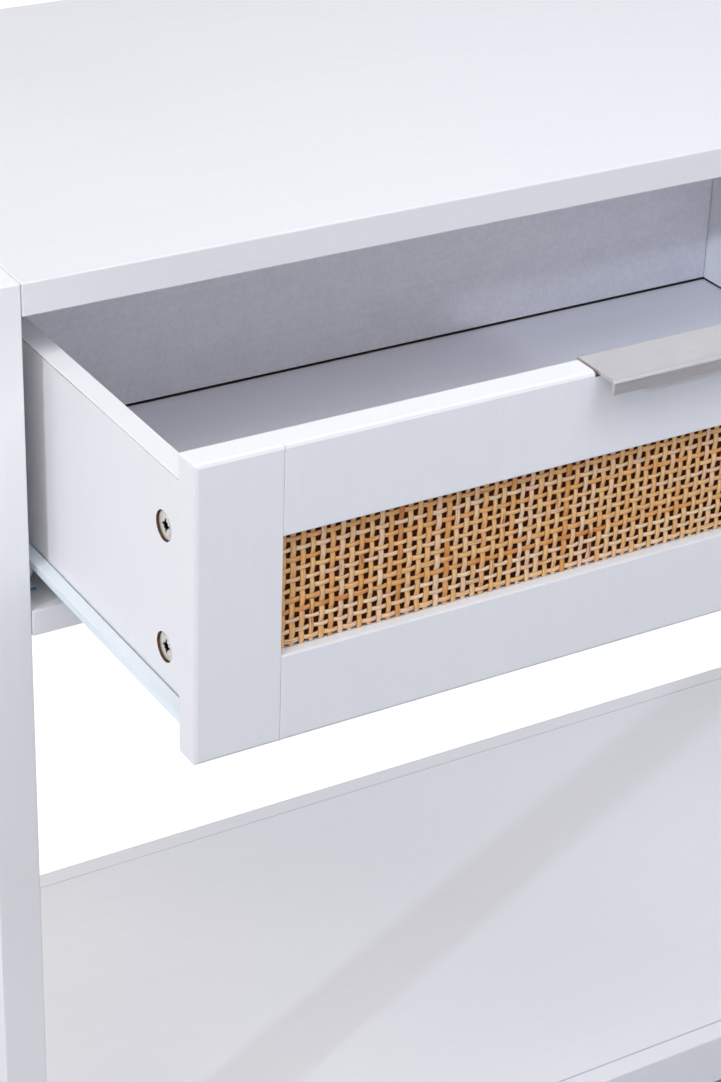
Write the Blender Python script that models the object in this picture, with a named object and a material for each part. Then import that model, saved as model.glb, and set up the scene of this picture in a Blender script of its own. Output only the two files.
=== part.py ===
"""Writing desk: a laminate worktop between two end frames, a low full-width shelf, and two
cane-fronted drawers on roller slides. Metres, +Z up, and the front faces -Y."""

import math

import bmesh
import bpy
from mathutils import Vector

# Whole desk
WIDTH = 1.215
DEPTH = 0.400
HEIGHT = 0.760
GAP = 0.0003

# End frames
POST_WIDTH = 0.025
POST_DEPTH = 0.045
SIDE_PANEL_THICKNESS = 0.018
SIDE_PANEL_HEIGHT = 0.200

# Boards
WORKTOP_THICKNESS = 0.018
DECK_THICKNESS = 0.015
DECK_UNDERSIDE = HEIGHT - SIDE_PANEL_HEIGHT
APRON_THICKNESS = 0.015
DIVIDER_THICKNESS = 0.015
SHELF_TOP = 0.096
SHELF_THICKNESS = 0.015
SHELF_DEPTH = 0.3945
SHELF_RAIL_THICKNESS = 0.0145
SHELF_RAIL_HEIGHT = 0.040
ARRIS = 0.0008

# Drawer front, a frame round a cane panel
FRONT_HEIGHT = 0.159
FRONT_THICKNESS = 0.016
FRONT_SIDE_GAP = 0.004
FRONT_TOP_GAP = 0.0025
FRONT_RADIUS = 0.002
STILE_WIDTH = 0.046
TOP_RAIL_HEIGHT = 0.047
BOTTOM_RAIL_HEIGHT = 0.048
CANE_RECESS = 0.005
CANE_THICKNESS = 0.005

# Drawer box, with its bottom let into grooves
SIDE_CLEARANCE = 0.013
SIDE_THICKNESS = 0.0125
SIDE_BOTTOM = 0.0055
SIDE_HEIGHT = 0.130
BOX_LENGTH = 0.325
BACK_THICKNESS = 0.012
BOTTOM_HEIGHT = 0.0138
BOTTOM_THICKNESS = 0.003
GROOVE_DEPTH = 0.005
SIDE_GROOVE_HEIGHT = 0.0043
BACK_GROOVE_HEIGHT = 0.0046

# Cam locks that pull the front onto the sides
CAM_RADIUS = 0.0075
CAM_BORE_RADIUS = 0.0078
CAM_DEPTH = 0.0090
CAM_SINK = 0.0011
CAM_EDGE = 0.0004
CAM_SETBACK = 0.032
CAM_HEIGHTS = {"lower": 0.0377, "upper": 0.1037}
CAM_SLOT_LENGTH = 0.0074
CAM_SLOT_WIDTH = 0.0014
CAM_SLOT_DEPTH = 0.0020
CAM_SOCKET_WIDTH = 0.0040
CAM_SOCKET_DEPTH = 0.0060

# Tab handle, a bent strip over the front's top edge
HANDLE_LENGTH = 0.132
HANDLE_THICKNESS = 0.002
HANDLE_BEND = 0.0022
HANDLE_BEND_STEPS = 4
HANDLE_EDGE = 0.0003
HANDLE_EDGE_ANGLE = math.radians(60)
HANDLE_REACH = 0.014
HANDLE_RISE = 0.0005
HANDLE_LIP = 0.0075
HANDLE_FLANGE = 0.018
HANDLE_NOTCH_SPARE = 0.0012
HANDLE_NOTCH_DEPTH = 0.0026

# Roller slides
SLIDE_LENGTH = 0.300
SLIDE_STEEL = 0.0010
SLIDE_SETBACK = FRONT_THICKNESS + 2 * GAP
TRACK_WEB = 0.0007
TRACK_OUTER = 0.008
TRACK_LIP = 0.004
TRACK_SHOULDER = 0.0006
TRACK_TOP = 0.0187
TRACK_TAIL = 0.026
TRACK_LEDGE = 0.014
CHANNEL_BOTTOM = 0.0019
CHANNEL_LOWER_FLANGE = 0.0102
CHANNEL_UPPER_FLANGE = 0.0042
ROLLER_RADIUS = 0.0089
ROLLER_HEIGHT = 0.0084
ROLLER_BORE = 0.0023
ROLLER_EDGE = 0.0008
AXLE_RADIUS = 0.0020
AXLE_HEAD_RADIUS = 0.0034
AXLE_HEAD_THICKNESS = 0.0004
FRONT_AXLE_TIP = 0.0008
REAR_AXLE_TIP = 0.0010
ROLLER_END_DISTANCE = 0.012
FRONT_ROLLER_SPAN = (0.0064, 0.0108)
REAR_ROLLER_SPAN = (0.0034, 0.0100)

# How far each drawer stands open at rest
OPENINGS = {"left": 0.175, "right": 0.0}

ROUND_STEPS = 28
ROUND_SHARP_ANGLE = math.radians(35)

# Places worked out from the sizes
FRONT_Y = (OPENINGS["left"] + HANDLE_REACH - DEPTH) / 2
BACK_Y = FRONT_Y + DEPTH
INNER_X = WIDTH / 2 - POST_WIDTH
DECK_TOP = DECK_UNDERSIDE + DECK_THICKNESS
WORKTOP_UNDERSIDE = HEIGHT - WORKTOP_THICKNESS
BAY_WIDTH = INNER_X - DIVIDER_THICKNESS / 2
BAY_CENTRE = DIVIDER_THICKNESS / 2 + BAY_WIDTH / 2
DRAWER_BASE = WORKTOP_UNDERSIDE - FRONT_TOP_GAP - FRONT_HEIGHT
SIGNS = {"left": -1, "right": 1}


def clear_scene():
    for obj in list(bpy.data.objects):
        bpy.data.objects.remove(obj, do_unlink=True)


def material(name, colour, roughness, metallic=0.0):
    made = bpy.data.materials.new(name)
    made.use_nodes = True
    shader = made.node_tree.nodes["Principled BSDF"]
    shader.inputs["Base Color"].default_value = (*colour, 1.0)
    shader.inputs["Roughness"].default_value = roughness
    shader.inputs["Metallic"].default_value = metallic
    return made


def add_object(name, bm, location, surface, parent=None):
    """Turns a bmesh, built about its own origin, into a named object."""
    bmesh.ops.recalc_face_normals(bm, faces=bm.faces)
    mesh = bpy.data.meshes.new(name)
    bm.to_mesh(mesh)
    bm.free()
    obj = bpy.data.objects.new(name, mesh)
    obj.location = location
    obj.parent = parent
    bpy.context.scene.collection.objects.link(obj)
    if surface:
        mesh.materials.append(surface)
    return obj


def box_bmesh(size):
    bm = bmesh.new()
    bmesh.ops.create_cube(bm, size=1.0)
    bmesh.ops.scale(bm, vec=size, verts=bm.verts)
    return bm


def even_arris(_side):
    return ARRIS


def board(name, low, high, surface, parent=None, radius_of=even_arris):
    """A board between two corners. radius_of gives each edge's rounding from the side of the
    board that the edge is on: -1, 0 or 1 along x, y and z, with 0 along the edge itself."""
    low = Vector(low)
    high = Vector(high)
    size = high - low
    bm = box_bmesh(size)
    weight = bm.edges.layers.float.new("bevel_weight_edge")
    for edge in bm.edges:
        middle = (edge.verts[0].co + edge.verts[1].co) / 2
        side = tuple(round(2 * middle[i] / size[i]) for i in range(3))
        edge[weight] = radius_of(side) / FRONT_RADIUS
    obj = add_object(name, bm, (low + high) / 2, surface, parent)
    bevel = obj.modifiers.new("Arrises", "BEVEL")
    bevel.limit_method = "WEIGHT"
    bevel.width = FRONT_RADIUS
    bevel.segments = 2
    return obj


def extrusion(name, outline, start, end, surface, parent=None, along="y"):
    """Extrudes a closed outline of (across, up) points along y, or along x for (y, z) points."""
    bm = bmesh.new()
    length = end - start
    if along == "y":
        ring = [bm.verts.new((across, start, up)) for across, up in outline]
        step = (0, length, 0)
    else:
        ring = [bm.verts.new((start, across, up)) for across, up in outline]
        step = (length, 0, 0)
    face = bm.faces.new(ring)
    moved = bmesh.ops.extrude_face_region(bm, geom=[face])["geom"]
    bmesh.ops.translate(bm, vec=step, verts=[v for v in moved if isinstance(v, bmesh.types.BMVert)])
    return add_object(name, bm, (0, 0, 0), surface, parent)


def turned(name, profile, location, surface, parent=None):
    """Turns (x, radius) points about the x axis: a solid if the ends are on it, or a ring."""
    bm = bmesh.new()
    points = [bm.verts.new((x, 0, radius)) for x, radius in profile]
    edges = [bm.edges.new(pair) for pair in zip(points, points[1:])]
    if profile[0][1] > 0:
        edges.append(bm.edges.new((points[-1], points[0])))
    bmesh.ops.spin(
        bm, geom=points + edges, cent=(0, 0, 0), axis=(1, 0, 0), angle=math.tau, steps=ROUND_STEPS
    )
    bmesh.ops.remove_doubles(bm, verts=bm.verts, dist=1e-6)
    obj = add_object(name, bm, location, surface, parent)
    obj.data.shade_smooth()
    obj.data.set_sharp_from_angle(angle=ROUND_SHARP_ANGLE)
    return obj


def combine(target, helper, operation):
    """Cuts a helper shape from an object, or joins it on, and keeps the helper out of the model."""
    helper.hide_render = True
    helper.display_type = "WIRE"
    modifier = target.modifiers.new(helper.name, "BOOLEAN")
    modifier.operation = operation
    modifier.solver = "EXACT"
    modifier.object = helper


def box_helper(name, low, high, parent=None):
    low = Vector(low)
    high = Vector(high)
    return add_object(name, box_bmesh(high - low), (low + high) / 2, None, parent)


def make_worktop(white):
    board(
        "worktop",
        (-INNER_X + GAP, FRONT_Y, WORKTOP_UNDERSIDE),
        (INNER_X - GAP, BACK_Y, HEIGHT),
        white,
    )


def make_end_frame(side, white):
    """Two posts with a deep panel and a low rail between them, flush with the posts inside."""
    sign = SIGNS[side]
    inner = sign * INNER_X
    outer = sign * WIDTH / 2
    left, right = sorted((inner, outer))
    for place, low_y in (("front", FRONT_Y), ("rear", BACK_Y - POST_DEPTH)):
        board(f"{place}_{side}_post", (left, low_y, 0), (right, low_y + POST_DEPTH, HEIGHT), white)
    left, right = sorted((inner, inner + sign * SIDE_PANEL_THICKNESS))
    low_y = FRONT_Y + POST_DEPTH + GAP
    high_y = BACK_Y - POST_DEPTH - GAP
    board(f"{side}_side_panel", (left, low_y, DECK_UNDERSIDE), (right, high_y, HEIGHT), white)
    board(
        f"{side}_lower_rail",
        (left, low_y, SHELF_TOP - SHELF_RAIL_HEIGHT),
        (right, high_y, SHELF_TOP),
        white,
    )


def make_drawer_bays(white):
    reach = INNER_X - GAP
    apron_front = BACK_Y - APRON_THICKNESS
    board(
        "drawer_deck",
        (-reach, FRONT_Y, DECK_UNDERSIDE),
        (reach, apron_front - GAP, DECK_TOP),
        white,
    )
    board(
        "rear_apron",
        (-reach, apron_front, DECK_UNDERSIDE),
        (reach, BACK_Y, WORKTOP_UNDERSIDE - GAP),
        white,
    )
    board(
        "centre_divider",
        (-DIVIDER_THICKNESS / 2, FRONT_Y, DECK_TOP + GAP),
        (DIVIDER_THICKNESS / 2, apron_front - GAP, WORKTOP_UNDERSIDE - GAP),
        white,
    )


def make_shelf(white):
    reach = INNER_X - GAP
    shelf_back = FRONT_Y + SHELF_DEPTH
    panel_front = FRONT_Y + SHELF_RAIL_THICKNESS + GAP
    panel_back = shelf_back - SHELF_RAIL_THICKNESS - GAP
    board(
        "shelf_panel",
        (-reach, panel_front, SHELF_TOP - SHELF_THICKNESS),
        (reach, panel_back, SHELF_TOP),
        white,
        radius_of=lambda side: ARRIS / 2,
    )
    for name, low_y in (
        ("shelf_front_rail", FRONT_Y),
        ("shelf_rear_rail", shelf_back - SHELF_RAIL_THICKNESS),
    ):
        board(
            name,
            (-reach, low_y, SHELF_TOP - SHELF_RAIL_HEIGHT),
            (reach, low_y + SHELF_RAIL_THICKNESS, SHELF_TOP),
            white,
        )


def roller(name, span, centre, plastic, parent=None):
    """A roller with a bore, on an axis along x. span is its two faces, measured from centre.x."""
    low, high = sorted(span)
    profile = [
        (low, ROLLER_BORE),
        (low, ROLLER_RADIUS - ROLLER_EDGE),
        (low + ROLLER_EDGE, ROLLER_RADIUS),
        (high - ROLLER_EDGE, ROLLER_RADIUS),
        (high, ROLLER_RADIUS - ROLLER_EDGE),
        (high, ROLLER_BORE),
    ]
    return turned(name, profile, centre, plastic, parent)


def axle(name, foot, shoulder, tip, centre, parent=None):
    """A rivet along x: thick from its foot to its shoulder, thin through the roller, then a head."""
    head = AXLE_HEAD_THICKNESS if tip > foot else -AXLE_HEAD_THICKNESS
    profile = [
        (foot, 0),
        (foot, AXLE_HEAD_RADIUS),
        (shoulder, AXLE_HEAD_RADIUS),
        (shoulder, AXLE_RADIUS),
        (tip - head, AXLE_RADIUS),
        (tip - head, AXLE_HEAD_RADIUS),
        (tip, AXLE_HEAD_RADIUS),
        (tip, 0),
    ]
    return turned(name, profile, centre, None, parent)


def make_cabinet_runner(bay, side, steel, plastic):
    """The fixed channel of a slide, with the roller at its front that carries the drawer."""
    sign = SIGNS[side]
    wall = SIGNS[bay] * BAY_CENTRE + sign * BAY_WIDTH / 2
    start = FRONT_Y + SLIDE_SETBACK
    bottom = DECK_TOP + CHANNEL_BOTTOM + 2 * GAP
    top = DRAWER_BASE + TRACK_TOP

    def x(distance):
        return wall - sign * distance

    outline = [
        (x(GAP), bottom),
        (x(CHANNEL_LOWER_FLANGE), bottom),
        (x(CHANNEL_LOWER_FLANGE), bottom + SLIDE_STEEL),
        (x(GAP + SLIDE_STEEL), bottom + SLIDE_STEEL),
        (x(GAP + SLIDE_STEEL), top - SLIDE_STEEL),
        (x(CHANNEL_UPPER_FLANGE), top - SLIDE_STEEL),
        (x(CHANNEL_UPPER_FLANGE), top),
        (x(GAP), top),
    ]
    name = f"{bay}_bay_{side}_channel"
    channel = extrusion(name, outline, start, start + SLIDE_LENGTH, steel)
    low, high = FRONT_ROLLER_SPAN
    centre = (wall, start + ROLLER_END_DISTANCE, DRAWER_BASE + ROLLER_HEIGHT)
    foot = -sign * (GAP + SLIDE_STEEL / 2)
    pin = axle(name + "_axle", foot, -sign * (low - GAP), -sign * (high + FRONT_AXLE_TIP), centre)
    combine(channel, pin, "UNION")
    span = (-sign * low, -sign * high)
    middle = sum(span) / 2
    centre = (wall + middle, centre[1], centre[2])
    roller(f"{bay}_bay_{side}_front_roller", [x - middle for x in span], centre, plastic)


def make_drawer_runner(prefix, side, parent, steel, plastic):
    """The drawer's half of a slide: a ledge under the side, and a lipped track that the fixed
    roller carries. Its own roller is at the back, where the track is cut away."""
    sign = SIGNS[side]
    wall = sign * BAY_WIDTH / 2
    start = SLIDE_SETBACK
    ledge_top = SIDE_BOTTOM - GAP
    web_inner = SIDE_CLEARANCE - GAP
    web_outer = web_inner - TRACK_WEB
    outer = SIDE_CLEARANCE - TRACK_OUTER

    def x(distance):
        return wall - sign * distance

    outline = [
        (x(web_inner), TRACK_TOP - TRACK_SHOULDER),
        (x(web_inner - TRACK_SHOULDER), TRACK_TOP),
        (x(outer), TRACK_TOP),
        (x(outer), TRACK_TOP - TRACK_LIP),
        (x(outer + SLIDE_STEEL), TRACK_TOP - TRACK_LIP),
        (x(outer + SLIDE_STEEL), TRACK_TOP - SLIDE_STEEL),
        (x(web_outer), TRACK_TOP - SLIDE_STEEL),
        (x(web_outer), ledge_top - SLIDE_STEEL),
        (x(SIDE_CLEARANCE + TRACK_LEDGE), ledge_top - SLIDE_STEEL),
        (x(SIDE_CLEARANCE + TRACK_LEDGE), ledge_top),
        (x(web_inner), ledge_top),
    ]
    name = f"{prefix}_{side}_track"
    end = start + SLIDE_LENGTH
    track = extrusion(name, outline, start, end, steel, parent)
    left, right = sorted((x(outer - SLIDE_STEEL), x(web_outer)))
    relief = box_helper(
        name + "_relief",
        (left, end - TRACK_TAIL, TRACK_TOP - 2 * TRACK_LIP),
        (right, end + TRACK_LIP, TRACK_TOP + TRACK_LIP),
        parent,
    )
    combine(track, relief, "DIFFERENCE")
    low, high = REAR_ROLLER_SPAN
    centre = (wall, end - ROLLER_END_DISTANCE, ROLLER_HEIGHT)
    foot = -sign * (web_outer + TRACK_WEB / 2)
    tip = -sign * (low - REAR_AXLE_TIP)
    pin = axle(name + "_axle", foot, -sign * (high + GAP), tip, centre, parent)
    combine(track, pin, "UNION")
    span = (-sign * low, -sign * high)
    middle = sum(span) / 2
    centre = (wall + middle, centre[1], centre[2])
    roller(f"{prefix}_{side}_rear_roller", [x - middle for x in span], centre, plastic, parent)


def make_front(prefix, parent, white, cane):
    """The drawer front: two stiles and two rails round the cane, with thin seams between them."""
    reach = BAY_WIDTH / 2 - FRONT_SIDE_GAP
    inner = reach - STILE_WIDTH
    seam = GAP / 2

    def stile_radius(seam_side):
        def radius_of(side):
            if side[0] == seam_side:
                return GAP
            return FRONT_RADIUS if side[1] < 0 else ARRIS

        return radius_of

    def rail_radius(outer_side):
        def radius_of(side):
            if side[0]:
                return GAP
            if side[1] > 0:
                return ARRIS
            return FRONT_RADIUS if side[2] == outer_side else ARRIS

        return radius_of

    for side, sign in SIGNS.items():
        left, right = sorted((sign * (inner + seam), sign * reach))
        board(
            f"{prefix}_{side}_stile",
            (left, 0, 0),
            (right, FRONT_THICKNESS, FRONT_HEIGHT),
            white,
            parent,
            stile_radius(-sign),
        )
    board(
        f"{prefix}_bottom_rail",
        (-inner + seam, 0, 0),
        (inner - seam, FRONT_THICKNESS, BOTTOM_RAIL_HEIGHT),
        white,
        parent,
        rail_radius(-1),
    )
    opening_top = FRONT_HEIGHT - TOP_RAIL_HEIGHT
    top_rail = board(
        f"{prefix}_top_rail",
        (-inner + seam, 0, opening_top),
        (inner - seam, FRONT_THICKNESS, FRONT_HEIGHT),
        white,
        parent,
        rail_radius(1),
    )
    notch_reach = HANDLE_LENGTH / 2 + HANDLE_NOTCH_SPARE
    notch = box_helper(
        f"{prefix}_handle_notch",
        (-notch_reach, -FRONT_THICKNESS, FRONT_HEIGHT - HANDLE_NOTCH_DEPTH),
        (notch_reach, 2 * FRONT_THICKNESS, FRONT_HEIGHT + HANDLE_NOTCH_DEPTH),
        parent,
    )
    combine(top_rail, notch, "DIFFERENCE")
    board(
        f"{prefix}_cane_panel",
        (-inner + 2 * GAP, CANE_RECESS, BOTTOM_RAIL_HEIGHT + GAP),
        (inner - 2 * GAP, CANE_RECESS + CANE_THICKNESS, opening_top - GAP),
        cane,
        parent,
        lambda side: GAP,
    )


def groove_outline(face, inward_sign, height):
    """A groove in a board's face, from its upper edge to its lower edge."""
    floor = BOTTOM_HEIGHT - GAP
    depth = face + inward_sign * GROOVE_DEPTH
    return [(face, floor + height), (depth, floor + height), (depth, floor), (face, floor)]


def make_box(prefix, parent, white):
    """Grooved sides and back, and the thin bottom that slides into them."""
    top = SIDE_BOTTOM + SIDE_HEIGHT
    start = FRONT_THICKNESS + GAP
    end = start + BOX_LENGTH
    outer = BAY_WIDTH / 2 - SIDE_CLEARANCE
    inner = outer - SIDE_THICKNESS
    for side, sign in SIGNS.items():
        outline = [
            (sign * outer, SIDE_BOTTOM),
            (sign * outer, top),
            (sign * inner, top),
            *groove_outline(sign * inner, sign, SIDE_GROOVE_HEIGHT),
            (sign * inner, SIDE_BOTTOM),
        ]
        panel = extrusion(f"{prefix}_{side}_side", outline, start, end, white, parent)
        add_arris(panel)
        bore = [
            (sign * CAM_DEPTH, 0),
            (sign * CAM_DEPTH, CAM_BORE_RADIUS),
            (-sign * CAM_DEPTH, CAM_BORE_RADIUS),
            (-sign * CAM_DEPTH, 0),
        ]
        for height_name, height in CAM_HEIGHTS.items():
            centre = (sign * outer, start + CAM_SETBACK, height)
            cutter = turned(f"{prefix}_{side}_{height_name}_bore", bore, centre, None, parent)
            combine(panel, cutter, "DIFFERENCE")
    back_start = end - BACK_THICKNESS
    outline = [
        (end, SIDE_BOTTOM),
        (end, top),
        (back_start, top),
        *groove_outline(back_start, 1, BACK_GROOVE_HEIGHT),
        (back_start, SIDE_BOTTOM),
    ]
    reach = inner - GAP
    back = extrusion(f"{prefix}_back", outline, -reach, reach, white, parent, along="x")
    add_arris(back)
    reach = inner + GROOVE_DEPTH - GAP
    bottom = board(
        f"{prefix}_bottom",
        (-reach, start, BOTTOM_HEIGHT),
        (reach, back_start - GAP, BOTTOM_HEIGHT + BOTTOM_THICKNESS),
        white,
        parent,
        lambda side: GAP,
    )
    tongue_reach = inner - 2 * GAP
    tongue = box_helper(
        f"{prefix}_bottom_tongue",
        (-tongue_reach, back_start - GROOVE_DEPTH, BOTTOM_HEIGHT),
        (tongue_reach, back_start + GROOVE_DEPTH - GAP, BOTTOM_HEIGHT + BOTTOM_THICKNESS),
        parent,
    )
    combine(bottom, tongue, "UNION")


def add_arris(obj):
    bevel = obj.modifiers.new("Arrises", "BEVEL")
    bevel.limit_method = "ANGLE"
    bevel.width = ARRIS / 2
    bevel.segments = 1


def make_cams(prefix, parent, zinc):
    """Cam locks in the sides' outer faces, each with a screwdriver cross and a square socket."""
    outer = BAY_WIDTH / 2 - SIDE_CLEARANCE
    socket_reach = CAM_SOCKET_WIDTH / 2
    for side, sign in SIGNS.items():
        for height_name, height in CAM_HEIGHTS.items():
            name = f"{prefix}_{side}_{height_name}_cam"
            centre = (sign * outer, FRONT_THICKNESS + GAP + CAM_SETBACK, height)
            face = -sign * CAM_SINK
            floor = -sign * (CAM_DEPTH - GAP)
            profile = [
                (floor, 0),
                (floor, CAM_RADIUS),
                (face - sign * CAM_EDGE, CAM_RADIUS),
                (face, CAM_RADIUS - CAM_EDGE),
                (face, 0),
            ]
            cam = turned(name, profile, centre, zinc, parent)
            slot = cross_helper(name + "_slot", centre[1], height, sign, outer, parent)
            combine(cam, slot, "DIFFERENCE")
            near, far = sorted((sign * (outer - CAM_SINK - CAM_SOCKET_DEPTH), sign * (outer + CAM_SINK)))
            socket = box_helper(
                name + "_socket",
                (near, centre[1] - socket_reach, height - socket_reach),
                (far, centre[1] + socket_reach, height + socket_reach),
                parent,
            )
            combine(cam, socket, "DIFFERENCE")


def cross_helper(name, y, z, sign, outer, parent):
    """An upright cross, deep along x, that cuts the slot of one cam."""
    long = CAM_SLOT_LENGTH / 2
    half = CAM_SLOT_WIDTH / 2
    quarter = [(long, -half), (long, half), (half, half)]
    outline = []
    for turn in range(4):
        for a, b in quarter:
            for _ in range(turn):
                a, b = -b, a
            outline.append((y + a, z + b))
    start = sign * (outer - CAM_SINK - CAM_SLOT_DEPTH)
    return extrusion(name, outline, start, sign * (outer + CAM_SLOT_DEPTH), None, parent, along="x")


def make_handle(prefix, parent, nickel):
    """A strip bent over the front's top edge: a screw flange behind, and a lip in front."""
    top = FRONT_HEIGHT + HANDLE_RISE
    back = FRONT_THICKNESS + GAP
    flange_foot = FRONT_HEIGHT - HANDLE_FLANGE
    lip_foot = top - HANDLE_LIP
    rear_centre = back + HANDLE_THICKNESS - HANDLE_BEND
    front_centre = HANDLE_BEND - HANDLE_REACH
    inner_bend = HANDLE_BEND - HANDLE_THICKNESS

    def bend(centre, radius, start, end):
        """A quarter turn between two angles, in degrees."""
        step = (end - start) / HANDLE_BEND_STEPS
        angles = [math.radians(start + step * i) for i in range(HANDLE_BEND_STEPS + 1)]
        height = top - HANDLE_BEND
        return [(centre + radius * math.cos(a), height + radius * math.sin(a)) for a in angles]

    outline = [
        (back, flange_foot),
        (back + HANDLE_THICKNESS, flange_foot),
        *bend(rear_centre, HANDLE_BEND, 0, 90),
        *bend(front_centre, HANDLE_BEND, 90, 180),
        (-HANDLE_REACH, lip_foot),
        (HANDLE_THICKNESS - HANDLE_REACH, lip_foot),
        *bend(front_centre, inner_bend, 180, 90),
        *bend(rear_centre, inner_bend, 90, 0),
    ]
    half = HANDLE_LENGTH / 2
    handle = extrusion(f"{prefix}_handle", outline, -half, half, nickel, parent, along="x")
    bevel = handle.modifiers.new("Edges", "BEVEL")
    bevel.limit_method = "ANGLE"
    bevel.angle_limit = HANDLE_EDGE_ANGLE
    bevel.width = HANDLE_EDGE
    bevel.segments = 1


def make_drawer(bay, white, cane, nickel, zinc, steel, plastic):
    prefix = f"{bay}_drawer"
    empty = bpy.data.objects.new(prefix + "_slide", None)
    empty.location = (SIGNS[bay] * BAY_CENTRE, FRONT_Y - OPENINGS[bay], DRAWER_BASE)
    bpy.context.scene.collection.objects.link(empty)
    make_front(prefix, empty, white, cane)
    make_box(prefix, empty, white)
    make_cams(prefix, empty, zinc)
    make_handle(prefix, empty, nickel)
    for side in SIGNS:
        make_drawer_runner(prefix, side, empty, steel, plastic)


def main():
    clear_scene()
    white = material("white_laminate", (0.86, 0.87, 0.90), 0.38)
    cane = material("cane", (0.72, 0.47, 0.22), 0.62)
    nickel = material("brushed_nickel", (0.62, 0.61, 0.61), 0.34, 1.0)
    zinc = material("zinc", (0.60, 0.60, 0.58), 0.42, 1.0)
    steel = material("coated_steel", (0.80, 0.86, 0.92), 0.30)
    plastic = material("nylon", (0.85, 0.85, 0.83), 0.45)
    make_worktop(white)
    for side in SIGNS:
        make_end_frame(side, white)
    make_drawer_bays(white)
    make_shelf(white)
    for bay in SIGNS:
        for side in SIGNS:
            make_cabinet_runner(bay, side, steel, plastic)
        make_drawer(bay, white, cane, nickel, zinc, steel, plastic)


main()
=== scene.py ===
"""Looks for the writing desk: laminate, woven cane, metal and plastic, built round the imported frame."""

import math

import bpy
import bmesh
import numpy as np
from mathutils import Matrix, Vector


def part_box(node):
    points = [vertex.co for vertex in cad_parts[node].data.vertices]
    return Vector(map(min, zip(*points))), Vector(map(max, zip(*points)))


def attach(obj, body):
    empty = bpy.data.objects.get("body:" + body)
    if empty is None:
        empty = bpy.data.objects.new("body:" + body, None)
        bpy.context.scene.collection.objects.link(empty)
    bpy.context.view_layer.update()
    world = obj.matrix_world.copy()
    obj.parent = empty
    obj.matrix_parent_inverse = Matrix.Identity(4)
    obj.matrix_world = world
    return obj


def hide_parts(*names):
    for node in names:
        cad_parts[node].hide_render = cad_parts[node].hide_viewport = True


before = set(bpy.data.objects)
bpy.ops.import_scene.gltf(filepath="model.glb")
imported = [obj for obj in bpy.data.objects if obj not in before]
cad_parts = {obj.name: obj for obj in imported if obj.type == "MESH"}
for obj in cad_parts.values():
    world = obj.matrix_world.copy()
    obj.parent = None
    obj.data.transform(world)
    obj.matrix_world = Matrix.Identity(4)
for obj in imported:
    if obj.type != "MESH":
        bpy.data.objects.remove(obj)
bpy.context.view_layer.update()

SIDES = ("left", "right")
MM = 0.001
PAST = 1.0 * MM  # how far a mask reaches past the board that it marks

# Camera, in metres and degrees. Azimuth turns from +Y towards +X.
CAMERA_PLACE = (-1.0636, -1.2117, 1.2820)
CAMERA_AZIMUTH = 31.58
CAMERA_PITCH = -28.85
CAMERA_ROLL = -2.01
CAMERA_LENS = 88.85
CAMERA_SENSOR = 36.0

# Cane
CANE_COLUMN_PITCH = 5.3 * MM
CANE_ROW_PITCH = 5.5 * MM
CANE_ROWS = 12
CANE_TRIM = 0.2 * MM
UPRIGHT_WIDTH = 2.95 * MM
CROSSWISE_WIDTH = 2.45 * MM
STRAND_THICKNESS = 0.42 * MM
WEAVE_SWING = 0.30 * MM
WEAVE_DEPTH = 0.85 * MM
WEAVE_CREST = 0.62
PLACE_SPREAD = 0.10 * MM
WIDTH_SPREAD = 0.07
STRAND_TWIST = math.radians(6)
LOWEST_TONE = 0.10
TONE_REACH = 0.82
TONE_SHAPE = (2.3, 2.1)
STEPS_PER_CROSSING = 4
BACKING_DEPTH = 2.0 * MM

# Studio. The floor's glow rises between the two y places of WHITE_FROM, just behind the desk.
FLOOR_REACH = 14.0
FLOOR_DROP = 0.2 * MM
WHITE_FROM = (0.30, 0.43)
WHITE_GLOW = 0.90
KEY_HEADING = (0.866, 0.378, -0.291)
KEY_STRENGTH = 0.92
KEY_COLOUR = (0.74, 0.83, 1.00)
KEY_SPREAD = math.radians(1.6)
WORLD_STRENGTH = 0.225
WORLD_COLOUR = (0.97, 0.97, 1.0)
SOFT_LIGHTS = (  # name, place, aim, size, watts, colour
    ("overhead", (-0.35, -0.75, 2.3), (-0.25, -0.2, 0.7), (1.1, 0.7), 6.0, (0.93, 1.0, 1.0)),
    ("over_front", (-0.1, -1.3, 2.2), (-0.1, -0.2, 0.65), (1.2, 0.8), 12.6, (0.76, 0.83, 0.95)),
    ("ceiling", (0.0, -0.3, 3.0), (0.0, -0.2, 0.7), (3.0, 2.6), 1.5, (0.74, 0.75, 0.86)),
    ("front", (-1.2, -2.2, 1.6), (-0.3, 0.0, 0.6), (1.6, 0.9), 8.4, (0.74, 0.80, 0.95)),
    ("front_right", (1.6, -2.2, 1.7), (0.0, -0.1, 0.6), (1.2, 1.2), 4.0, (1.0, 0.93, 0.87)),
    ("left", (-2.4, 0.1, 1.5), (-0.5, -0.1, 0.6), (1.2, 1.2), 5.2, (0.97, 0.98, 1.0)),
    ("high_left", (-1.7, -0.9, 2.4), (-0.3, -0.1, 0.6), (0.9, 0.9), 16.0, (1.0, 0.92, 0.78)),
    ("behind", (1.4, 1.7, 1.9), (0.3, -0.2, 0.75), (2.0, 1.6), 10.2, (0.94, 0.96, 1.0)),
    ("over_back", (0.1, 0.5, 2.4), (0.0, -0.1, 0.65), (1.2, 0.8), 2.6, (0.70, 0.85, 1.0)),
    ("behind_left", (-1.6, 1.8, 1.2), (-0.1, 0.0, 0.2), (1.6, 1.4), 6.0, (0.94, 0.96, 1.0)),
    ("under_desk", (0.0, 0.17, 0.55), (0.0, 0.16, 0.1), (1.05, 0.20), 0.42, (0.98, 0.98, 1.0)),
)

rng = np.random.default_rng(7)


# ---------------------------------------------------------------- materials


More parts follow.
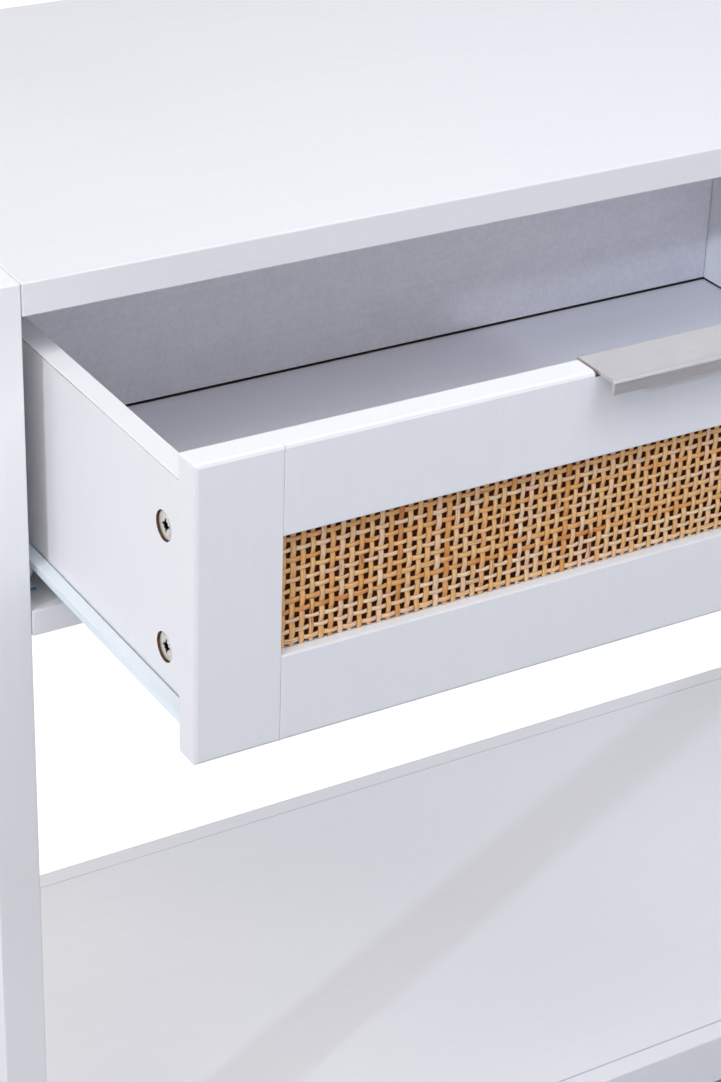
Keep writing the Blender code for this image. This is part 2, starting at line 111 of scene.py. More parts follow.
class Surface:
    """A node material with its Principled shader, and short calls for the nodes it is made of."""

    def __init__(self, name, roughness=0.5, metallic=0.0, **settings):
        self.made = bpy.data.materials.new(name)
        self.made.use_nodes = True
        self.tree = self.made.node_tree
        self.shader = self.tree.nodes["Principled BSDF"]
        self.shader.inputs["Roughness"].default_value = roughness
        self.shader.inputs["Metallic"].default_value = metallic
        for socket, value in settings.items():
            self.shader.inputs[socket.replace("_", " ")].default_value = value

    def node(self, kind, inputs=(), **settings):
        made = self.tree.nodes.new(kind)
        for name, value in settings.items():
            setattr(made, name, value)
        for socket, value in dict(inputs).items():
            if isinstance(value, bpy.types.NodeSocket):
                self.tree.links.new(value, made.inputs[socket])
            else:
                made.inputs[socket].default_value = value
        return made

    def place(self, scale=(1, 1, 1), shift=(0, 0, 0)):
        """Places on the object, in metres, times scale."""
        coords = self.node("ShaderNodeTexCoord").outputs["Object"]
        return self.mapped(coords, scale, shift)

    def mapped(self, vector, scale, shift=(0, 0, 0)):
        inputs = {"Vector": vector, "Scale": scale, "Location": shift}
        return self.node("ShaderNodeMapping", inputs).outputs["Vector"]

    def noise(self, vector, scale, detail=2.0, roughness=0.5):
        inputs = {"Vector": vector, "Scale": scale, "Detail": detail, "Roughness": roughness}
        return self.node("ShaderNodeTexNoise", inputs).outputs["Fac"]

    def math(self, operation, first, second=0.0, third=0.0):
        inputs = {0: first, 1: second, 2: third}
        return self.node("ShaderNodeMath", inputs, operation=operation).outputs[0]

    def band(self, value, low, high, to_low=0.0, to_high=1.0):
        """Maps low..high to to_low..to_high smoothly, and holds the ends."""
        inputs = {
            "Value": value,
            "From Min": low,
            "From Max": high,
            "To Min": to_low,
            "To Max": to_high,
        }
        return self.node("ShaderNodeMapRange", inputs, interpolation_type="SMOOTHSTEP").outputs["Result"]

    def mix(self, share, first, second):
        """Goes from the first colour to the second. Sockets 0, 6 and 7 are the share and the colours."""
        made = self.node("ShaderNodeMix", data_type="RGBA")
        for socket, value in ((0, share), (6, first), (7, second)):
            if isinstance(value, bpy.types.NodeSocket):
                self.tree.links.new(value, made.inputs[socket])
            else:
                made.inputs[socket].default_value = value if socket == 0 else (*value, 1.0)
        return made.outputs[2]

    def ramp(self, value, stops):
        made = self.node("ShaderNodeValToRGB", {"Fac": value})
        elements = made.color_ramp.elements
        while len(elements) < len(stops):
            elements.new(0.5)
        for element, (position, colour) in zip(elements, stops):
            element.position = position
            element.color = (*colour, 1.0)
        return made.outputs["Color"]

    def split(self, vector):
        made = self.node("ShaderNodeSeparateXYZ", {0: vector})
        return made.outputs[0], made.outputs[1], made.outputs[2]

    def attribute(self, name):
        return self.node("ShaderNodeAttribute", attribute_name=name)

    def colour(self, value):
        self.tree.links.new(value, self.shader.inputs["Base Color"])

    def roughness(self, value):
        self.tree.links.new(value, self.shader.inputs["Roughness"])

    def bump(self, height, distance, strength):
        inputs = {"Height": height, "Distance": distance, "Strength": strength}
        made = self.node("ShaderNodeBump", inputs).outputs["Normal"]
        self.tree.links.new(made, self.shader.inputs["Normal"])
        return made


# Colours of the boards' faces, each with the one that its faint streaks go to.
LAMINATE = (0.845, 0.836, 0.852)
LAMINATE_DIM = (0.831, 0.821, 0.838)
# Painted light: a whiter laminate for the posts and the board under the drawers, standing in for light that
# the lamps don't give there.
PAINTED_LIGHT_WHITE = (0.905, 0.896, 0.898)
PAINTED_LIGHT_WHITE_DIM = (0.892, 0.882, 0.884)
# Painted shade tint: the drawer box's foil is a cooler white than the front's, for the bluish shade inside
# the drawer.
FOIL = (0.835, 0.830, 0.875)
FOIL_DIM = (0.808, 0.802, 0.848)
# Painted light: the drawer's bottom gets a whiter foil than the rest of the box.
DRAWER_BOTTOM_LIT_FOIL = (0.875, 0.870, 0.915)
DRAWER_BOTTOM_LIT_FOIL_DIM = (0.852, 0.847, 0.893)
# Painted shade in dark blue steel: a contact shadow where a track meets its board, and a channel's cut end,
# which is also bare steel.
BARE_AND_SHADED_STEEL = (0.16, 0.22, 0.29)
# Colours of marks, dark and light: where the foil is cut or worn, a thin edge line, and painted shade.
RAW_EDGE = ((0.150, 0.062, 0.024), (0.420, 0.220, 0.110))
# Drilled board round the cam bores, darker than raw board: painted shade in the bores.
DRILLED_BOARD_IN_SHADE = ((0.030, 0.013, 0.007), (0.230, 0.095, 0.040))
PALE_EDGE = ((0.700, 0.600, 0.590), (0.840, 0.790, 0.790))
# Painted shade: raw board made near black inside the drawer's grooves.
SHADED_RAW_BOARD = ((0.030, 0.016, 0.011), (0.090, 0.045, 0.026))
# Painted shade: a greyer white that dims the bottom rail's top ledge.
LEDGE_SHADE = ((0.690, 0.690, 0.715), (0.720, 0.722, 0.750))
# A thin grey-brown line along a drawer side's top outer edge.
GREY_BROWN_EDGE_LINE = ((0.400, 0.340, 0.330), (0.620, 0.560, 0.550))
# Painted shade: lines on the shelf panel where it meets its rails, for the shadow in the gaps.
FRONT_JOINT_SHADE = ((0.580, 0.590, 0.680), (0.690, 0.700, 0.780))
REAR_JOINT_SHADE = ((0.430, 0.400, 0.420), (0.560, 0.530, 0.550))
# Raw board round the drawer's bottom, made near black as painted shade in the grooves: from the face that it
# is let into, and from its underside.
GROOVE_MOUTH = 0.05 * MM
GROOVE_REACH = 6 * MM
GROOVE_SOFT = 0.04 * MM
GROOVE_BELOW = 0.6 * MM
GROOVE_RAGGED = 0.3 * MM
SIDE_GROOVE_ABOVE = 4.3 * MM
BACK_GROOVE_ABOVE = 5.0 * MM
# Noise scales that draw the streaks out along an axis.
STREAK_SCALES = {"x": (9, 260, 260), "y": (260, 9, 260), "z": (260, 260, 9)}


def laminate(name, grain="z", light=LAMINATE, dim=LAMINATE_DIM, mottle=0.0, marks=()):
    """White melamine foil: faint streaks one way, a few specks, and a fine orange peel.
    marks are (mask, (dark, light)) pairs: where the board under the foil shows or shade is painted, and its
    colours."""
    made = Surface(name, roughness=0.4)
    place = made.place()
    streaks = made.noise(made.place(STREAK_SCALES[grain]), 1.0, detail=3.0, roughness=0.65)
    cloud = made.noise(place, 5.0, detail=2.0)
    tone = made.math("MULTIPLY_ADD", cloud, 0.45, made.math("MULTIPLY", streaks, 0.55))
    colour = made.mix(made.band(tone, 0.36, 0.64), dim, light)
    specks = made.band(made.noise(place, 900.0, detail=1.0), 0.735, 0.79)
    colour = made.mix(made.math("MULTIPLY", specks, 0.3), colour, (0.62, 0.60, 0.59))
    if mottle:
        fleck = made.noise(place, 480.0, detail=3.0, roughness=0.7)
        blotch = made.noise(place, 75.0, detail=3.0, roughness=0.6)
        paper = made.math("MULTIPLY_ADD", blotch, 0.30, made.math("MULTIPLY", fleck, 0.70))
        colour = made.mix(made.band(paper, 0.36, 0.64, mottle, 0.0), colour, (0.50, 0.50, 0.55))
    fibre = made.noise(place, 1800.0, detail=3.0) if marks else None
    for mask, (dark, pale) in marks:
        colour = made.mix(mask(made), colour, made.mix(made.band(fibre, 0.3, 0.7), dark, pale))
    made.colour(colour)
    made.roughness(made.band(cloud, 0.3, 0.7, 0.50, 0.60))
    peel = made.noise(place, 750.0, detail=2.0)
    made.bump(made.math("ADD", peel, made.math("MULTIPLY", streaks, 0.15)), 0.02 * MM, 0.5)
    return made.made


def cane_material():
    """Split cane: each strand has its own tone, which drifts along it, and a fine lengthwise grain."""
    made = Surface("woven_cane", roughness=0.42, Specular_IOR_Level=0.55)
    fibre = made.attribute("fibre").outputs["Vector"]
    tone = made.attribute("tone").outputs["Fac"]
    drift = made.noise(made.mapped(fibre, (0, 24, 1)), 1.0, detail=2.0)
    patch = made.noise(made.mapped(fibre, (160, 110, 1)), 1.0, detail=2.0)
    mixed = made.math("MULTIPLY_ADD", made.math("SUBTRACT", drift, 0.5), 0.70, tone)
    mixed = made.math("MULTIPLY_ADD", made.math("SUBTRACT", patch, 0.5), 0.35, mixed)
    colour = made.ramp(
        mixed,
        (
            (0.00, (0.520, 0.130, 0.018)),
            (0.12, (0.720, 0.270, 0.055)),
            (0.28, (0.860, 0.415, 0.130)),
            (0.46, (0.920, 0.520, 0.205)),
            (0.64, (0.940, 0.605, 0.285)),
            (0.78, (0.930, 0.625, 0.420)),
            (0.90, (0.960, 0.735, 0.475)),
            (1.00, (0.960, 0.830, 0.600)),
        ),
    )
    grain = made.noise(made.mapped(fibre, (4200, 90, 1)), 1.0, detail=3.0, roughness=0.6)
    colour = made.mix(made.band(grain, 0.34, 0.56, 0.50, 0.0), colour, (0.42, 0.17, 0.045))
    # Painted shade: each strand darkens towards its sides, where the strands shade each other.
    off_middle = made.math("ABSOLUTE", made.split(fibre)[0])
    rim = made.band(off_middle, 0.30 * UPRIGHT_WIDTH, 0.50 * UPRIGHT_WIDTH, 0.0, 0.80)
    colour = made.mix(rim, colour, (0.36, 0.14, 0.04))
    burn = made.noise(made.mapped(fibre, (500, 42, 1), (0, 0, 31)), 1.0, detail=2.0)
    colour = made.mix(made.band(burn, 0.66, 0.76, 0.0, 0.75), colour, (0.33, 0.085, 0.018))
    made.colour(colour)
    made.roughness(made.band(grain, 0.3, 0.7, 0.52, 0.36))
    made.bump(grain, 0.05 * MM, 0.6)
    return made.made


def glue_and_seam_shade():
    """Glue squeezed into a joint: dull greyish white, with darker bubbles. Its grey is partly painted shade
    for the seam line in the front.
    """
    made = Surface("glue_and_seam_shade", roughness=0.55)
    bubbles = made.noise(made.place(), 1300.0, detail=2.0)
    made.colour(made.mix(made.band(bubbles, 0.3, 0.7), (0.60, 0.59, 0.58), (0.76, 0.76, 0.77)))
    made.bump(bubbles, 0.03 * MM, 0.5)
    return made.made


def fibreboard(name, dark, light, scale=1500.0):
    """Pressed wood fibre, raw or darkened."""
    made = Surface(name, roughness=0.8)
    place = made.place()
    fibre = made.noise(place, scale, detail=4.0, roughness=0.7)
    clump = made.noise(place, scale / 9, detail=2.0)
    share = made.math("MULTIPLY_ADD", clump, 0.4, made.math("MULTIPLY", fibre, 0.6))
    made.colour(made.mix(made.band(share, 0.3, 0.7), dark, light))
    made.roughness(made.band(fibre, 0.3, 0.7, 0.72, 0.9))
    made.bump(fibre, 0.1 * MM, 0.5)
    made.shader.inputs["Specular IOR Level"].default_value = 0.08
    return made.made


def brushed(name, dark, light, rough, stretch=(28, 5200, 5200), detail=3.0):
    """Metal with brush lines along x."""
    made = Surface(name, metallic=1.0)
    lines = made.noise(made.place(stretch), 1.0, detail=detail, roughness=0.7)
    haze = made.noise(made.place(), 60.0, detail=2.0)
    made.colour(made.mix(made.band(lines, 0.3, 0.7), dark, light))
    share = made.math("MULTIPLY_ADD", haze, 0.5, made.math("MULTIPLY", lines, 0.5))
    made.roughness(made.band(share, 0.3, 0.7, rough - 0.05, rough + 0.08))
    made.bump(lines, 0.01 * MM, 0.5)
    return made.made


def cast_zinc(name, recess):
    """Die-cast zinc: a dull grey grain with darker pits, and near black in the recess as painted shade."""
    made = Surface(name, metallic=1.0)
    place = made.place()
    grain = made.noise(place, 1500.0, detail=4.0, roughness=0.7)
    stain = made.noise(place, 260.0, detail=2.0)
    colour = made.mix(made.band(grain, 0.35, 0.65), (0.52, 0.50, 0.47), (0.80, 0.78, 0.74))
    colour = made.mix(made.band(stain, 0.5, 0.7, 0.0, 0.45), colour, (0.42, 0.38, 0.33))
    # Painted shade: near black inside the recess.
    made.colour(made.mix(recess(made), colour, (0.02, 0.018, 0.017)))
    made.roughness(made.band(grain, 0.3, 0.7, 0.36, 0.58))
    made.bump(grain, 0.06 * MM, 0.7)
    return made.made


def coated_steel(name, dull):
    """Epoxy-coated slide steel: smooth and bluish white, with a slight wave from rolling. dull is a mask for
    the places where it is painted dark: a channel's cut end, which is bare steel and painted shade, and a
    track's line against a board, which is a painted contact shadow."""
    made = Surface(name, roughness=0.3)
    place = made.place()
    wave = made.noise(made.place((40, 6, 40)), 1.0, detail=2.0)
    peel = made.noise(place, 500.0, detail=2.0)
    colour = made.mix(made.band(wave, 0.35, 0.65), (0.78, 0.85, 0.90), (0.82, 0.89, 0.94))
    made.colour(made.mix(dull(made), colour, BARE_AND_SHADED_STEEL))
    made.roughness(made.band(peel, 0.3, 0.7, 0.30, 0.42))
    made.bump(peel, 0.01 * MM, 0.3)
    return made.made


def moulded_nylon():
    """Roller plastic: translucent white, with turning marks round its axis."""
    made = Surface("moulded_nylon", roughness=0.42, Subsurface_Weight=0.15, Subsurface_Scale=0.002)
    place = made.place()
    cloud = made.noise(place, 180.0, detail=2.0)
    marks = made.noise(made.place((2600, 60, 60)), 1.0, detail=1.0)
    made.colour(made.mix(made.band(cloud, 0.35, 0.65), (0.76, 0.76, 0.73), (0.84, 0.84, 0.82)))
    made.roughness(made.band(cloud, 0.3, 0.7, 0.36, 0.5))
    made.bump(marks, 0.03 * MM, 0.4)
    return made.made


def slab(axis, low, high, soft=0.1 * MM, ragged=0.0):
    """A mask that is 1 between two places along an axis (0, 1 or 2). ragged roughens its ends."""
    middle = (low + high) / 2
    reach = (high - low) / 2

    def mask(made):
        away = made.math("ABSOLUTE", made.math("SUBTRACT", made.split(made.place())[axis], middle))
        if ragged:
            wander = made.math("SUBTRACT", made.noise(made.place(), 900.0, detail=3.0), 0.5)
            away = made.math("MULTIPLY_ADD", wander, 2 * ragged, away)
        return made.band(away, reach - soft, reach + soft, 1.0, 0.0)

    return mask


def patches(scale, low, high):
    """A mask that comes and goes."""

    def mask(made):
        return made.band(made.noise(made.place(), scale, detail=2.0), low, high)

    return mask


def all_of(*masks):
    """A mask that is 1 where all of these are."""

    def mask(made):
        share = masks[0](made)
        for other in masks[1:]:
            share = made.math("MULTIPLY", share, other(made))
        return share

    return mask


def round_bore(y, z, radius):
    """A mask round an axis along x: the wall of a bore and its ragged rim."""

    def mask(made):
        _, along_y, along_z = made.split(made.place())
        a = made.math("SUBTRACT", along_y, y)
        b = made.math("SUBTRACT", along_z, z)
        squared = made.math("ADD", made.math("MULTIPLY", a, a), made.math("MULTIPLY", b, b))
        ragged = made.noise(made.place(), 700.0, detail=2.0)
        edge = made.math("MULTIPLY_ADD", ragged, 0.5 * MM, made.math("SQRT", squared))
        return made.band(edge, radius + 0.30 * MM, radius + 0.38 * MM, 1.0, 0.0)

    return mask


# ---------------------------------------------------------------- meshes


def mesh_piece(name, points, faces, surfaces, body, smooth=True, sharp=math.radians(50)):
    """A mesh that rides on a body, with its materials."""
    mesh = bpy.data.meshes.new(name)
    mesh.from_pydata([tuple(p) for p in points], [], [tuple(f) for f in faces])
    mesh.validate()
    for surface in surfaces:
        mesh.materials.append(surface)
    made = bpy.data.objects.new(name, mesh)
    bpy.context.scene.collection.objects.link(made)
    if smooth:
        mesh.shade_smooth()
        mesh.set_sharp_from_angle(angle=sharp)
    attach(made, body)
    return made


# (across, out) points round a split strand, as shares of its half width and half thickness:
# crowned on the face and flat behind.
STRAND_SECTION = np.array(
    [(-1.0, 0.0), (-0.80, 0.80), (0.0, 1.0), (0.80, 0.80), (1.0, 0.0), (0.70, -1.0), (-0.70, -1.0)]
)


def waver(along, reach, length, count=3):
    """A smooth random side step: a few sine waves of about that length."""
    total = np.zeros_like(along)
    for _ in range(count):
        wave = length * rng.uniform(0.6, 1.9)
        total += np.sin(along / wave * math.tau + rng.uniform(0, math.tau))
    return reach * total / count


def swing(turns):
    """Over and under: 1 at even crossings and -1 at odd ones, flattened where strands lie on each other."""
    wave = np.cos(math.pi * turns)
    return np.sign(wave) * np.abs(wave) ** WEAVE_CREST


def strand(along, side_step, depth, half_width, half_thickness, twist):
    """Points (side, out, along) of one strand, a ring of section points at each step."""
    across = STRAND_SECTION[:, 0][None, :] * half_width[:, None]
    out = STRAND_SECTION[:, 1][None, :] * half_thickness
    turned = across * np.cos(twist)[:, None] - out * np.sin(twist)[:, None]
    raised = across * np.sin(twist)[:, None] + out * np.cos(twist)[:, None]
    side = side_step[:, None] + turned
    height = depth[:, None] + raised
    return side, height, np.repeat(along[:, None], len(STRAND_SECTION), axis=1)


class Weave:
    """Gathers strands into one mesh, with each point's place on its strand and its tone."""

    def __init__(self):
        self.points, self.faces, self.fibre, self.tone = [], [], [], []
        self.count = 0

    def add(self, points, along, tone, turned=False):
        """turned takes the section points the other way round, to keep the faces outward."""
        section = STRAND_SECTION[:, 0] * UPRIGHT_WIDTH / 2
        if turned:
            points = points[:, ::-1]
            section = section[::-1]
        rings, around = points.shape[:2]
        base = self.count
        index = base + np.arange(rings * around).reshape(rings, around)
        following = np.roll(index, -1, axis=1)
        quads = np.stack([index[:-1], following[:-1], following[1:], index[1:]], axis=-1).reshape(-1, 4)
        self.faces += [tuple(q) for q in quads.tolist()]
        self.faces.append(tuple(index[0][::-1].tolist()))
        self.faces.append(tuple(index[-1].tolist()))
        self.points.append(points.reshape(-1, 3))
        shift = rng.uniform(0, 100)
        across = np.repeat(section[None, :], rings, axis=0)
        length = np.repeat(along[:, None], around, axis=1)
        identity = np.full_like(length, shift)
        self.fibre.append(np.stack([across, length, identity], axis=-1).reshape(-1, 3))
        self.tone.append(np.full(rings * around, tone))
        self.count += rings * around

    def build(self, name, surface, body):
        points = np.concatenate(self.points)
        made = mesh_piece(name, points, self.faces, [surface], body, sharp=math.radians(75))
        fibre = made.data.attributes.new("fibre", "FLOAT_VECTOR", "POINT")
        fibre.data.foreach_set("vector", np.concatenate(self.fibre).astype(np.float32).ravel())
        tone = made.data.attributes.new("tone", "FLOAT", "POINT")
        tone.data.foreach_set("value", np.concatenate(self.tone).astype(np.float32))
        return made


def weave_cane(drawer, surface):
    """A plain weave, one over and one under, in the space of the drawer's cane panel. Its rows are
    spaced from the panel's top edge, where the mat was cut along a strand."""
    low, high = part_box(f"{drawer}_cane_panel")
    width = high.x - low.x
    height = high.z - low.z
    columns = round(width / CANE_COLUMN_PITCH)
    column_pitch = width / columns
    first_row = height - (CANE_ROWS - 1) * CANE_ROW_PITCH - CANE_TRIM
    middle = low.y + WEAVE_DEPTH
    weave = Weave()
    tones = LOWEST_TONE + TONE_REACH * rng.beta(*TONE_SHAPE, columns + CANE_ROWS)
    for i in range(columns):
        along = np.linspace(0, height, CANE_ROWS * STEPS_PER_CROSSING + 1)
        sign = 1 if i % 2 == 0 else -1
        depth = sign * WEAVE_SWING * swing((along - first_row) / CANE_ROW_PITCH)
        step = (i + 0.5) * column_pitch + rng.normal(0, PLACE_SPREAD) + waver(along, 0.26 * MM, 26 * MM)
        half = UPRIGHT_WIDTH / 2 * rng.normal(1.0, WIDTH_SPREAD) * (1 + waver(along, 0.07, 9 * MM))
        twist = waver(along, STRAND_TWIST, 12 * MM)
        side, out, up = strand(along, step, depth, half, STRAND_THICKNESS / 2, twist)
        side = np.clip(side, 0, width)
        points = np.stack([low.x + side, middle - out, low.z + up], axis=-1)
        weave.add(points, along, tones[i])
    for j in range(CANE_ROWS):
        along = np.linspace(0, width, columns * STEPS_PER_CROSSING + 1)
        sign = -1 if j % 2 == 0 else 1
        depth = sign * WEAVE_SWING * swing(along / column_pitch - 0.5)
        sway = waver(along, 0.35 * MM, 90 * MM) + waver(along, 0.18 * MM, 16 * MM)
        step = first_row + j * CANE_ROW_PITCH + sway
        half = CROSSWISE_WIDTH / 2 * rng.normal(1.0, WIDTH_SPREAD) * (1 + waver(along, 0.12, 14 * MM))
        twist = waver(along, STRAND_TWIST, 14 * MM)
        side, out, over = strand(along, step, depth, half, STRAND_THICKNESS / 2, twist)
        side = np.clip(side, 0, height)
        points = np.stack([low.x + over, middle - out, low.z + side], axis=-1)
        weave.add(points, along, tones[columns + j], turned=True)
    made = weave.build(f"{drawer}_cane_weave", surface, drawer)
    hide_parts(f"{drawer}_cane_panel")


def joined(parts):
    """The points and faces of several parts as one."""
    points, faces = [], []
    for more, rims in parts:
        faces += [[len(points) + i for i in face] for face in rims]
        points += more
    return points, faces


def bevelled_box(low, high, width):
    """Points and faces of a box with rounded edges."""
    bm = bmesh.new()
    bmesh.ops.create_cube(bm, size=1.0)
    bmesh.ops.scale(bm, vec=high - low, verts=bm.verts)
    bmesh.ops.translate(bm, vec=(low + high) / 2, verts=bm.verts)
    bmesh.ops.bevel(bm, geom=bm.edges[:], offset=width, segments=2, profile=0.5, affect="EDGES")
    bm.verts.index_update()
    points = [v.co.copy() for v in bm.verts]
    faces = [[v.index for v in f.verts] for f in bm.faces]
    bm.free()
    return points, faces


def cane_backing(drawer, hole_shade, raw):
    """The board behind the cane. Its front face is near-black brown, painted shade seen through the weave's
    holes.
    """
    low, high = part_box(f"{drawer}_cane_panel")
    low = Vector((low.x, low.y + BACKING_DEPTH, low.z))
    points, faces = bevelled_box(low, high, 0.2 * MM)
    made = mesh_piece(f"{drawer}_cane_backing", points, faces, [hole_shade, raw], drawer)
    for face in made.data.polygons:
        face.material_index = 0 if face.normal.y < 0.5 else 1


def glue_outline(rail_low, rail_high, end):
    """(y, z) points round the glue at a rail's end: sunk in the face and in the rounding that leads to
    the rail's outer edge, and flush there. end is 1 where that edge is the upper one, else -1."""
    sunk, flush = 0.45 * MM, 0.03 * MM
    rounding, steps = 2.0 * MM, 5
    short = 0.2 * MM
    past = 0.1 * MM
    outer, inner = (rail_high.z, rail_low.z) if end > 0 else (rail_low.z, rail_high.z)
    outline = [(rail_high.y - short, inner + end * past), (rail_low.y + sunk, inner + end * past)]
    for step in range(steps + 1):
        angle = math.radians(90 * step / steps)
        back = rounding - (rounding - sunk) * math.cos(angle)
        fall = rounding - (rounding - flush) * math.sin(angle)
        outline.append((rail_low.y + back, outer - end * fall))
    outline.append((rail_high.y - short, outer - end * flush))
    return outline


def prism(outline, across, turn):
    """Points and faces between two places along x. turn is -1 to turn the faces the other way round."""
    count = len(outline)
    points = [(x, y, z) for x in across for y, z in outline]
    faces = [list(range(count))[::turn], list(range(count, 2 * count))[::-turn]]
    for i in range(count):
        j = (i + 1) % count
        faces.append([i, count + i, count + j, j][::turn])
    return points, faces


def skim_strip(drawer, across):
    """Points and faces of the paint over the top of a joint."""
    overlap, edge = 0.35 * MM, 0.01 * MM
    front_inset, rear_inset = 1.6 * MM, 0.5 * MM
    sunk, proud = 0.3 * MM, 0.015 * MM
    low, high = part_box(f"{drawer}_top_rail")
    strip_low = Vector((across[0] - overlap, low.y + front_inset, high.z - sunk))
    strip_high = Vector((across[1] + overlap, high.y - rear_inset, high.z + proud))
    return bevelled_box(strip_low, strip_high, edge)


def joint_glue(drawer, side, glue, paint_over):
    """The glue between a stile and the ends of its rails: sunk in the face, painted over on top."""
    clearance = 0.01 * MM
    stile_low, stile_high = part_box(f"{drawer}_{side}_stile")
    parts = []
    for rail, end in (("top_rail", 1), ("bottom_rail", -1)):
        rail_low, rail_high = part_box(f"{drawer}_{rail}")
        across = (stile_high.x, rail_low.x) if side == "left" else (rail_high.x, stile_low.x)
        inside = (across[0] + clearance, across[1] - clearance)
        parts.append(prism(glue_outline(rail_low, rail_high, end), inside, end))
    parts.append(skim_strip(drawer, across))
    points, faces = joined(parts)
    surfaces = [glue, paint_over]
    made = mesh_piece(f"{drawer}_{side}_joint_glue", points, faces, surfaces, drawer, smooth=False)
    for face in made.data.polygons:
        face.material_index = 1 if abs(face.normal.z) > 0.5 else 0


def screw_head(centre, outward, radius, height):
    """Points and faces of a pan head with a cross recess, standing out along a direction."""
    outward = Vector(outward)
    first = outward.orthogonal().normalized()
    second = outward.cross(first)
    quarter = ((-12, 0.50), (0, 0.55), (12, 0.50), (28, 0.22), (45, 0.17), (62, 0.22))
    spokes = [(math.radians(90 * turn + angle), reach) for turn in range(4) for angle, reach in quarter]
    rings = [
        [(a, radius, 0.0) for a, _ in spokes],
        [(a, radius, 0.30 * height) for a, _ in spokes],
        [(a, 0.90 * radius, 0.72 * height) for a, _ in spokes],
        [(a, 0.70 * radius, 0.95 * height) for a, _ in spokes],
        [(a, reach * radius, height) for a, reach in spokes],
        [(a, 0.62 * reach * radius, 0.25 * height) for a, reach in spokes],
    ]
    points = [Vector(centre)]
    for ring in rings:
        points += [
            Vector(centre) + first * r * math.cos(a) + second * r * math.sin(a) + outward * h
            for a, r, h in ring
        ]
    points.append(Vector(centre) + outward * 0.15 * height)
    count = len(spokes)
    faces = []
    for i in range(count):
        j = (i + 1) % count
        faces.append([0, 1 + j, 1 + i])
        for level in range(len(rings) - 1):
            here, there = 1 + level * count, 1 + (level + 1) * count
            faces.append([here + i, here + j, there + j, there + i])
        last = 1 + (len(rings) - 1) * count
        faces.append([last + i, last + j, len(points) - 1])
    return points, faces


def screws(name, places, outward, radius, height, surface, body):
    points, faces = joined([screw_head(place, outward, radius, height) for place in places])
    mesh_piece(name, points, faces, [surface], body, sharp=math.radians(35))


def handle_screws(drawer, surface):
    """Two screws through the flange, into the back of the front."""
    inset, drop = 18 * MM, 1.5 * MM
    radius, height = 3.4 * MM, 1.5 * MM
    low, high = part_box(f"{drawer}_handle")
    level = (low.z + high.z) / 2 - drop
    places = [(x, high.y, level) for x in (low.x + inset, high.x - inset)]
    screws(f"{drawer}_handle_screws", places, (0, 1, 0), radius, height, surface, drawer)


def slide_screws(bay, side, surface):
    """Screws that hold a channel to the desk and its track to the drawer."""
    radius, low_head, high_head = 3.3 * MM, 0.9 * MM, 1.2 * MM
    sheet, half_ledge = 1.0 * MM, 7 * MM
    channel_front, channel_rear, track_inset = 48 * MM, 30 * MM, 40 * MM
    inward = 1 if side == "left" else -1
    low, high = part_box(f"{bay}_bay_{side}_channel")
    wall = (low.x if side == "left" else high.x) + inward * sheet
    level = (low.z + high.z) / 2
    along = (low.y + channel_front, (low.y + high.y) / 2, high.y - channel_rear)
    places = [(wall, y, level) for y in along]
    name = f"{bay}_bay_{side}_channel_screws"
    screws(name, places, (inward, 0, 0), radius, low_head, surface, "desk")
    low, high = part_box(f"{bay}_drawer_{side}_track")
    ledge = (high.x if side == "left" else low.x) - inward * half_ledge
    places = [(ledge, y, low.z) for y in (low.y + track_inset, high.y - track_inset)]
    name = f"{bay}_drawer_{side}_track_screws"
    screws(name, places, (0, 0, -1), radius, high_head, surface, f"{bay}_drawer")


# ---------------------------------------------------------------- dressing the frame


def paint(node, surface):
    """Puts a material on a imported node."""
    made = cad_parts[node]
    made.data.materials.clear()
    made.data.materials.append(surface)


def dress_desk():
    """The boards of the desk, with the foil's streaks along each board."""
    boards = {
        "x": ("worktop", "rear_apron", "shelf_front_rail", "shelf_rear_rail"),
        "y": ("centre_divider", "left_side_panel", "right_side_panel", "left_lower_rail", "right_lower_rail"),
    }
    for grain, nodes in boards.items():
        surface = laminate(f"laminate_{grain}", grain)
        for node in nodes:
            paint(node, surface)
    # Painted light: the posts and the board under the drawers are painted whiter than the other boards.
    post = laminate("post_painted_light_laminate", "z", PAINTED_LIGHT_WHITE, PAINTED_LIGHT_WHITE_DIM)
    for place in ("front", "rear"):
        for side in SIDES:
            paint(f"{place}_{side}_post", post)
    paint("drawer_deck", laminate("deck_painted_light_laminate", "x", PAINTED_LIGHT_WHITE, PAINTED_LIGHT_WHITE_DIM))
    dress_shelf()


def dress_shelf():
    """The panel, with painted shade lines where it meets its rails."""
    seam, soft = 0.9 * MM, 0.25 * MM
    wide_seam, softer = 1.0 * MM, 0.3 * MM
    front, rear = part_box("shelf_front_rail")[1].y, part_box("shelf_rear_rail")[0].y
    marks = (
        (slab(1, front - PAST, front + seam, soft=soft), FRONT_JOINT_SHADE),
        (slab(1, rear - wide_seam, rear + PAST, soft=softer), REAR_JOINT_SHADE),
    )
    paint("shelf_panel", laminate("shelf_laminate", "x", marks=marks))


def dress_drawer(drawer, nickel):
    """The front and its handle, then the box. The bottom rail's top ledge is a greyer white: painted shade.
    """
    upright = laminate(f"{drawer}_stile_laminate", "z")
    for side in SIDES:
        paint(f"{drawer}_{side}_stile", upright)
    skin = 0.3 * MM
    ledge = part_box(f"{drawer}_bottom_rail")[1].z
    # Painted shade on the ledge's top face.
    dull = slab(2, ledge - skin, ledge + PAST)
    surface = laminate(f"{drawer}_bottom_rail_laminate", "z", marks=((dull, LEDGE_SHADE),))
    paint(f"{drawer}_bottom_rail", surface)
    paint(f"{drawer}_handle", nickel)
    dress_top_rail(drawer)
    dress_box(drawer)
    for side in SIDES:
        dress_side(drawer, side)


